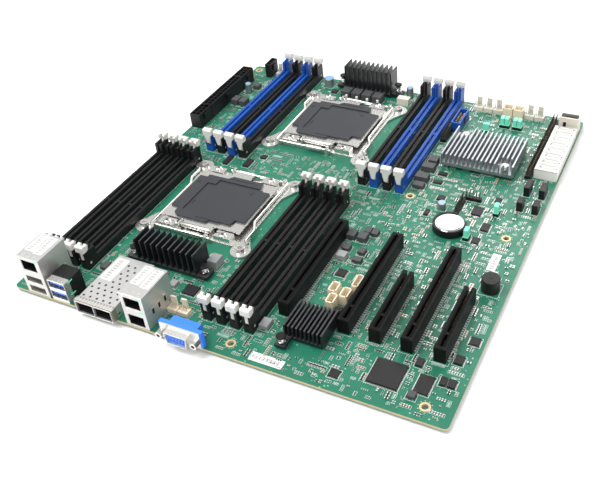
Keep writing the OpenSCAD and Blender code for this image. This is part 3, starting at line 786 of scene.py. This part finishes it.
keep("regulator_heatsinks", BLACK_ALU, 0.12)
keep("chipset_heatsink", ALU, 0.12)
pins = Piece("spring_pins", [BLACK, WHITE, BRIGHT])
board_pins = sorted(SHARED["push_pins"], key=lambda s: (s["mid"].x, s["mid"].y))
for s in board_pins:
    c, hi, lo = s["mid"], s["hi"], s["lo"]
    if hi.x - lo.x < 5.5:
        continue
    pale = c.y > 225 and c.y < 275
    mat = WHITE if pale else BLACK
    stem = [(0.9, 0), (1.5, 0.9), (1.45, 2.0), (1.45, hi.z - 1.8 - lo.z)]
    cap = [(2.6, hi.z - 1.8 - lo.z), (3.1, hi.z - 1.5 - lo.z), (3.1, hi.z - 0.7 - lo.z),
           (2.4, hi.z - 0.1 - lo.z), (0.8, hi.z - lo.z)]
    pins.turned((c.x, c.y, lo.z), stem + cap, mat)
    foot = 5.7 if pale else 3.9 if c.x < 180 else 3.5
    high = hi.z - 1.95
    path = []
    for i in range(COIL_STEPS + 1):
        a = 2 * math.pi * COIL_TURNS * i / COIL_STEPS
        rise = (high - foot - 0.5) * i / COIL_STEPS
        path.append((c.x + COIL_R * math.cos(a), c.y + COIL_R * math.sin(a), foot + 0.3 + rise))
    pins.tube(path, COIL_WIRE_R, BRIGHT, 8)
pins.make("board", ["push_pins"], 0.0, True)

# ---- rear connectors ----

keep("lan_ports", CAGE, 0.2)
keep("usb3_stack", STEEL, 0.15)
keep("sfp_cage", CAGE, 0.15)
rear = Piece("port_inserts", [BLACK, WHITE, SKY, GOLD, MINT, HOLE_SHADE, TIN, LABEL, GREY, BRONZE])
opening = {o["name"]: [mm(o["box_m"][0]), mm(o["box_m"][1])] for o in frame["record"]["physics"]["openings"]}


def liner(lo, hi, y0, depth, t, mat):
    """Four thin walls inside a port."""
    w, h = hi.x - lo.x, hi.z - lo.z
    rear.box(lo.x, y0, lo.z, w, depth, t, mat)
    rear.box(lo.x, y0, hi.z - t, w, depth, t, mat)
    rear.box(lo.x, y0, lo.z, t, depth, h, mat)
    rear.box(hi.x - t, y0, lo.z, t, depth, h, mat)
    rear.box(lo.x, y0 + depth - t, lo.z, w, t, h, mat)


BAR_PITCH = 0.78


def bars(x, y, z, length, thick, count):
    """Plain grey bars on a label, with every third one wider."""
    for k in range(count):
        rear.box(x, y + k * BAR_PITCH, z, length, 0.3 if k % 3 else 0.45, thick, GREY)


for name, (lo, hi) in opening.items():
    if name.startswith("network"):
        liner(lo - Vector((0.4, 0, 0.4)), hi + Vector((0.4, 0, 0.4)), 0.4, 13.2, 0.35, BLACK)
        for i in range(8):
            rear.box(lo.x + 1.3 + i * 1.1, 4, hi.z - 1.6, 0.45, 8.5, 0.25, GOLD)
        rear.box(lo.x + 3, 0.3, lo.z - 0.35, hi.x - lo.x - 6, 3, 0.5, BLACK)
    elif name.startswith("usb"):
        wide = name.startswith("usb3")
        mat = SKY if wide else BLACK
        z = hi.z - 2.1
        rear.box(lo.x + 0.7, 0.8, z, hi.x - lo.x - 1.4, 10.6, 1.7, mat)
        for i in range(4):
            rear.box(lo.x + 1.9 + i * 2.4, 1.2, z - 0.12, 1.1, 8.5, 0.14, GOLD)
        # dark walls deeper in the port: painted shade inside it
        liner(lo - Vector((0.4, 0, 0.3)), hi + Vector((0.4, 0, 0.3)), 6.0, 5.6, 0.3, HOLE_SHADE)
    elif name.startswith("transceiver"):
        rear.box(lo.x + 0.2, 41.4, lo.z + 0.2, hi.x - lo.x - 0.4, 1.2, hi.z - lo.z - 0.4, BLACK)
        # thin dark walls inside the opening: painted shade over the cage metal
        liner(lo, hi, box_of("sfp_cage")[0].y + 1.2, 30, 0.2, HOLE_SHADE)
        for k in (0.3, 0.7):
            rear.box(lo.x + (hi.x - lo.x) * k - 0.6, -1, hi.z - 0.4, 1.2, 6, 0.3, TIN)

lx, hx = box_of("usb3_stack")
rear.box(lx.x - 0.12, 5.4, 0, hx.x - lx.x + 0.24, hx.y - 5.4, hx.z + 0.1, BLACK)
for z in (5.2, hx.z - 1.7):
    rear.box(hx.x + 0.1, 3.4, z, 0.25, 4.2, 0.9, MINT)
for s in solids("lan_ports"):
    lo, hi = s["lo"], s["hi"]
    rear.box(lo.x - 0.15, hi.y - 9, 0, hi.x - lo.x + 0.3, 8.7, 3.2, BLACK)
    for z in ((hi.z - 1.7,) if hi.z > 29 else (hi.z - 2.0, hi.z - 13.2)):
        for x in (lo.x + 1.8, hi.x - 4.4):
            rear.box(x, -0.12, z, 2.6, 0.5, 1.1, WHITE if x < lo.x + 3 else MINT)
    for k in range(3):
        rear.box(hi.x - 0.02, 6 + k * 6.2, 8, 0.12, 2.6, 6.5, TIN)
        # dark windows beside the side tabs: painted shade
        rear.box(hi.x + 0.06, 6.3 + k * 6.2, 8.6, 0.06, 2.0, 4.2, HOLE_SHADE)
        rear.box(lo.x + 3 + k * 4.6, 1.2, hi.z - 0.02, 2.4, 3.4, 0.03, TIN)
    for k, x in enumerate((lo.x + 1.6, lo.x + 9.4)):
        rear.box(x, hi.y - 18 - k, hi.z - 0.01, 6.6, 17, 0.02, LABEL)
        bars(x + 1.2, hi.y - 16.8 - k, hi.z + 0.008, 3.0, 0.01, 20)
lo, hi = box_of("sfp_cage")
top = 9.8
# dark discs for the vent holes in the cage top: painted shade
for i in range(5):
    for j in range(9):
        x, y = lo.x + 3.0 + i * 5.2 + (j % 2) * 2.6, lo.y + 7 + j * 4.2
        if x < hi.x - 2.4 and not (j > 3 and x < lo.x + 13):
            rear.turned((x, y, top - 0.02), [(0.85, 0), (0.85, 0.05)], HOLE_SHADE, seg=14)
for k in range(12):
    rear.box(lo.x + 1.4 + k * 2.35, lo.y + 0.9, top + 0.3, 1.3, 3.2, 0.3, TIN)
rear.box(lo.x + 2, lo.y + 24, top, 9, 21, 0.06, LABEL)
bars(lo.x + 3.8, lo.y + 25.4, top + 0.05, 4.0, 0.03, 24)
rear.box(lo.x - 0.2, lo.y + 0.4, top + 0.02, hi.x - lo.x + 0.4, 4.2, 0.35, BRONZE)
for x in (lo.x - 0.2, hi.x - 0.15):
    rear.box(x, lo.y + 0.4, 0.6, 0.35, 4.2, top - 0.5, BRONZE)
# dark patches for the side holes of the cage: painted shade
for k in range(8):
    for x in (lo.x + 0.66, hi.x - 1.0):
        rear.box(x, lo.y + 6 + k * 5.1, 2.4, 0.4, 2.2, 0.9, HOLE_SHADE)
rear.make("board", (), 0.0)

video = Piece("video_port", [SKY, TIN, HOLE_SHADE, BRIGHT])
lo, hi = box_of("vga_port")
c = (lo + hi) / 2
zc = 6.4
video.box(lo.x, 0, 0, 30.8, 3, 12.5, SKY)
video.box(c.x - 10, 3, 0, 20, 6, 11, SKY)
video.box(c.x - 14.2, -0.8, 0.2, 28.4, 0.8, 12.2, TIN)
shell = [(-8.2, 4.2), (8.2, 4.2), (7, -4.2), (-7, -4.2)]
outer = [(zc + b, c.x + a) for a, b in shell]
inner = [(zc + b * 0.88, c.x + a * 0.93) for a, b in shell]
v = []
for ring, y in ((outer, -0.8), (outer, -6), (inner, -6), (inner, -4.6)):
    v += [(p[1], y, p[0]) for p in ring]
f = []
for k in range(3):
    f += band(k * 4, (k + 1) * 4, 4)
video.add(v, f, TIN)
video.add([v[i] for i in range(12, 16)], [(0, 1, 2, 3)], SKY)
# dark discs for the pin holes: painted shade
for j in range(3):
    for i in range(5):
        x = c.x - 4.6 + i * 2.3 + (0.6 if j == 1 else 0)
        video.turned((x, -4.62, zc + 2 - j * 2), [(0.45, 0), (0.45, -0.06)], HOLE_SHADE, "y", 10)
# the dark disc in each hex post is painted shade for its screw hole
for s in (-1, 1):
    x = c.x + 12.5 * s
    hexagon = [(zc + 2.6 * math.sin(math.pi * k / 3), x + 2.6 * math.cos(math.pi * k / 3))
               for k in range(6)]
    video.prism(hexagon, "y", -6, -0.8, BRIGHT)
    video.turned((x, -6.03, zc), [(1.3, 0.0), (1.3, 0.05)], HOLE_SHADE, "y", 14)
for i in range(5):
    for j in range(3):
        video.mid(c.x - 4.6 + i * 2.3, 10.2 + j * 0.1, 0, 0.5, 0.4, 0.8, TIN)
video.make("board", ["vga_port"], 0.15)

# ---- inner connectors ----

drives = Piece("drive_connectors", [WHITE, CREAM, BLACK, GOLD, GREY])
for s in SHARED["storage_connectors"]:
    lo, hi = s["lo"], s["hi"]
    if hi.z > 10:
        drives.solid(s, CREAM)
        drives.box(lo.x + 2.4, lo.y + 3.4, 2.0, hi.x - lo.x - 4.8, 1.5, hi.z - 3.6, BLACK)
        drives.box(lo.x + 3.4, lo.y - 0.08, 4, 2.4, 0.1, 6, BLACK)
        drives.box(lo.x + 1.6, hi.y - 5.2, hi.z - 0.05, hi.x - lo.x - 3.2, 3.6, 0.12, BLACK)
    else:
        drives.solid(s, WHITE)
        drives.box(lo.x + 3.4, lo.y + 4.1, 2.9, 9.4, 1.0, 4.8, WHITE)
        for k in range(7):
            drives.box(lo.x + 5.2 + k * 1.1, lo.y + 4.0, 3.4, 0.5, 0.12, 3.6, GOLD)
        drives.box(hi.x - 2.6, lo.y + 4.4, hi.z - 0.05, 1.3, 1.3, 0.1, GREY)
        drives.box(lo.x + 2.4, hi.y - 1.1, hi.z - 0.05, hi.x - lo.x - 5.2, 0.45, 0.08, GREY)
        drives.box(lo.x + 0.05, lo.y - 0.05, hi.z - 0.3, hi.x - lo.x - 0.1, 0.3, 0.33, GREY)
drives.make("board", ["storage_connectors"], 0.18)

power = Piece("power_housings", [BLACK, ORANGE, GOLD])
for s in SHARED["power_connectors"]:
    lo, hi = s["lo"], s["hi"]
    tab = hi.y - lo.y < 2
    power.solid(s, ORANGE if tab else BLACK)
    if tab:
        continue
    rows = 2 if hi.x - lo.x > 7 else 1
    cols = round((hi.y - lo.y - 1.4) / HOUSING_PITCH)
    for i in range(cols):
        for j in range(rows):
            x = lo.x + 0.9 + j * HOUSING_PITCH + 1.8
            y = lo.y + 1 + i * HOUSING_PITCH + 1.8
            power.mid(x, y, 3.0, 1.0, 1.0, 6.5, GOLD)
    latch = (hi.y - lo.y) / 2
    power.box(hi.x, lo.y + latch - 2.6, 6, 1.3, 5.2, 4.6, BLACK)
power.make("board", ["power_connectors"], 0.2)

heads = Piece("header_rows", [CREAM, IVORY, BLUE, BLACK, MINT, GOLD, TIN, HOLE_SHADE, DARK_PIN])
for s in SHARED["board_headers"]:
    lo, hi, c = s["lo"], s["hi"], s["mid"]
    w, d, h = hi - lo
    if abs(hi.z - 8.5) < 0.05:
        heads.solid(s, lambda q: MINT if q.z > 2.45 else BLACK)
        continue
    if abs(hi.z - 9) < 0.2:
        heads.solid(s, BLUE)
        for i in range(int((d - 6) / HEADER_PITCH) + 1):
            for j in (-1.27, 1.27):
                heads.mid(c.x + j, lo.y + 3.2 + i * HEADER_PITCH, 1, 0.6, 0.6, 6.5, GOLD)
        # a dark sheet on the side: painted shade of an opening
        heads.box(hi.x - 0.02, c.y - 2.2, 2.5, 0.1, 4.4, 6.4, HOLE_SHADE)
        continue
    if abs(hi.z - 8) < 0.1:
        t = 0.8
        heads.box(lo.x, lo.y, 0, w, d, 2.4, IVORY)
        ends = ((lo.x, lo.y, t, d), (hi.x - t, lo.y, t, d))
        sides = ((lo.x, lo.y, w, t), (lo.x, hi.y - t, w, t))
        for x, y, ww, dd in ends + sides:
            heads.box(x, y, 2.4, ww, dd, h - 2.4, IVORY)
        along = d > w
        count = max(2, int(max(w, d) / 2.6))
        for i in range(count):
            q = (i - (count - 1) / 2) * 2.1
            heads.mid(c.x + (0 if along else q), c.y + (q if along else 0), 2.4, 0.6, 0.6, 4.2, TIN)
        continue
    if abs(hi.z - 11) < 0.1 or abs(hi.z - 6) < 0.1:
        heads.solid(s, IVORY if lo.y < 40 else CREAM)
        n = 4 if w > 6 else 3
        long_pin = 5.6 if hi.z > 10 else 3.2
        for i in range(n):
            x = c.x + (i - (n - 1) / 2) * (w - 1.6) / (n - 0.5)
            heads.mid(x, lo.y + 2.1, 3, 0.55, 0.55, long_pin, TIN)
        continue
    if hi.z > 8:
        heads.box(lo.x, lo.y, 0, w, d, 2.6, BLACK)
    else:
        heads.solid(s, BLACK)
    rows_x = max(1, round(w / HEADER_PITCH))
    rows_y = max(1, round(d / HEADER_PITCH))
    tall = 5 < hi.z < 8
    for i in range(rows_x):
        for j in range(rows_y):
            x = c.x + (i - (rows_x - 1) / 2) * 2.45
            y = c.y + (j - (rows_y - 1) / 2) * 2.5
            if tall:
                # a dark square round each pin: painted shade of its socket hole
                heads.mid(x, y, hi.z - 0.02, 0.8, 0.8, 0.06, HOLE_SHADE)
                heads.mid(x, y, hi.z, 0.5, 0.5, 0.4, DARK_PIN)
            else:
                heads.mid(x, y, 2.5, 0.6, 0.6, 5.9, DARK_PIN)
heads.make("board", ["board_headers"], 0.18)

# ---- soldered components ----

parts = Piece("soldered_parts", [CHIP, FERRITE, PALE_FERRITE, TIN, SLEEVE, BLACK, HOLE_SHADE, WHITE, ALU])
for s in SHARED["surface_components"]:
    lo, hi, c = s["lo"], s["hi"], s["mid"]
    w, d, h = hi - lo
    many = len(s["verts"]) > 20
    if many and h > 9 and w > 10:
        buzzer = [(5.7, 0), (6, 0.3), (6, 9.3), (5.7, 9.7), (1.2, 9.7), (1.1, 9.5)]
        parts.turned((c.x, c.y, 0), buzzer, BLACK, seg=40)
        # the dark disc on top is painted shade for the sound hole
        parts.turned((c.x, c.y, 9.45), [(1.1, 0), (1.1, 0.3)], HOLE_SHADE)
        parts.ring(c.x, c.y, 9.6, 3.6, 3.9, 0.16, BLACK)
    elif many and w > 4:
        can = [(w / 2 - 0.1, 0), (w / 2, 0.4), (w / 2 - 0.25, 1.2), (w / 2, 1.6),
               (w / 2, h - 0.5), (w / 2 - 0.4, h)]
        parts.turned((c.x, c.y, 0), can, ALU, seg=28)
        parts.turned((c.x, c.y, h - 0.02), [(w / 2 - 0.8, 0), (w / 2 - 0.8, 0.06)], SLEEVE, seg=28)
        parts.mid(c.x, c.y, h + 0.02, w * 0.62, 0.16, 0.04, ALU)
        parts.mid(c.x, c.y, h + 0.02, 0.16, w * 0.62, 0.04, ALU)
    elif many:
        parts.turned((c.x, c.y, 0), [(w / 2, 0), (w / 2, h - 0.2), (w / 2 - 0.2, h)], WHITE, seg=16)
    elif h < 1.8 or (w > 20 and h < 3.2):
        parts.mid(c.x, c.y, 0.15, w, d, h - 0.15, CHIP, 0.985)
        mark = min(w, d) * 0.14
        parts.turned((lo.x + mark, lo.y + mark, h), [(0.3, 0), (0.3, 0.02)], FERRITE, seg=12)
        pitch = 0.65 if min(w, d) < 10 else 0.9
        for k in range(int((d - 1) / pitch)):
            y = lo.y + 0.7 + k * pitch
            for side in (-1, 1):
                parts.mid(c.x + side * (w / 2 + 0.35), y, 0, 0.9, pitch * 0.45, 0.25, TIN)
        if min(w, d) > 5.5:
            for k in range(int((w - 1) / pitch)):
                x = lo.x + 0.7 + k * pitch
                for side in (-1, 1):
                    parts.mid(x, c.y + side * (d / 2 + 0.35), 0, pitch * 0.45, 0.9, 0.25, TIN)
    else:
        rear_pale = (100 < c.x < 122 and c.y < 80) or (172 < c.x < 182 and c.y < 45)
        pale = rear_pale or (190 < c.x < 197 and 100 < c.y < 110)
        parts.mid(c.x, c.y, 0.3, w, d, h - 0.3, PALE_FERRITE if pale else FERRITE, 0.96)
        for side in (-1, 1):
            parts.mid(c.x + side * w * 0.36, c.y, 0, w * 0.24, d + 0.5, 0.5, TIN)
parts.make("board", ["surface_components"], 0.16)

keep("battery_holder", BLACK, 0.25)
keep("coin_cell", CELL, 0.15)
lo, hi = box_of("coin_cell")
c = (lo + hi) / 2
cell = Piece("cell_stamp", [STEEL])
cell.ring(c.x, c.y, hi.z - 0.02, 6.2, 6.5, 0.05, STEEL, 48)
cell.mid(c.x, c.y, hi.z - 0.02, 3.4, 0.5, 0.06, STEEL)
cell.mid(c.x, c.y, hi.z - 0.02, 0.5, 3.4, 0.06, STEEL)
cell.make("coin_cell")
clip = Piece("cell_clip", [BRIGHT])
clip.box(c.x - 2.2, lo.y - 1.5, 1.9, 4.4, 1.0, hi.z - 1.6, BRIGHT)
clip.make("board", (), 0.1)

# ---- studio ----

scene = bpy.context.scene
FLOOR_HALF = 6
floor_z = Vector(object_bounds()[0]).z - 0.0003
corners = [(x * FLOOR_HALF, y * FLOOR_HALF, floor_z) for x, y in ((-1, -1), (1, -1), (1, 1), (-1, 1))]
mesh = bpy.data.meshes.new("floor")
mesh.from_pydata(corners, [], [(0, 1, 2, 3)])
floor = bpy.data.objects.new("floor", mesh)
scene.collection.objects.link(floor)
mesh.materials.append(surface("pale_floor", (0.9, 0.9, 0.9), 0.9, vary=0.01, bump=0.0))

world = bpy.data.worlds.new("studio")
scene.world = world
world.use_nodes = True
sky = world.node_tree
where = sky.nodes.new("ShaderNodeTexCoord")
split = sky.nodes.new("ShaderNodeSeparateXYZ")
shades = sky.nodes.new("ShaderNodeValToRGB")
sky.links.new(where.outputs["Generated"], split.inputs[0])
sky.links.new(split.outputs["Z"], shades.inputs[0])
sky.links.new(shades.outputs[0], sky.nodes["Background"].inputs["Color"])
for place, grey in ((0.0, 0.62), (0.12, 0.3), (0.45, 0.9), (0.75, 1.0)):
    e = shades.color_ramp.elements.new(place)
    e.color = (grey, grey, grey, 1)
shades.color_ramp.elements.remove(shades.color_ramp.elements[-1])
sky.nodes["Background"].inputs["Strength"].default_value = 0.72
scene.view_settings.view_transform = "Standard"


def lamp(name, place, target, size, power):
    data = bpy.data.lights.new(name, "AREA")
    data.size, data.energy = size, power
    o = bpy.data.objects.new(name, data)
    o.location = place
    o.rotation_euler = (Vector(target) - Vector(place)).to_track_quat("-Z", "Y").to_euler()
    scene.collection.objects.link(o)


middle = at(WIDTH / 2, DEPTH / 2)
lamp("key", middle + Vector((-0.5, -0.3, 1.1)), middle, 0.7, 14)
lamp("fill", middle + Vector((0.9, -0.9, 0.8)), middle, 1.0, 7)
lamp("back", middle + Vector((0.1, 1.0, 0.7)), middle, 0.8, 8)

heading = math.radians(-28.68)
drop = math.radians(39.17)
DISTANCE = 0.5564
look = Vector((math.sin(heading) * math.cos(drop), math.cos(heading) * math.cos(drop), -math.sin(drop)))
side = look.cross(Vector((0, 0, 1))).normalized()
up = side.cross(look)
roll = math.radians(-4.77)
right = side * math.cos(roll) + up * math.sin(roll)
top_side = up * math.cos(roll) - side * math.sin(roll)
camera = bpy.data.cameras.new("camera")
camera.sensor_width, camera.lens = 36, 48.168
camera.shift_x, camera.shift_y = -0.0551, -0.0046
camera.clip_start, camera.clip_end = 0.01, 20
eye = bpy.data.objects.new("camera", camera)
turn = Matrix((right, top_side, -look)).transposed().to_4x4()
eye.matrix_world = Matrix.Translation(at(178.09, 123.77) - look * DISTANCE) @ turn
scene.collection.objects.link(eye)
scene.camera = eye
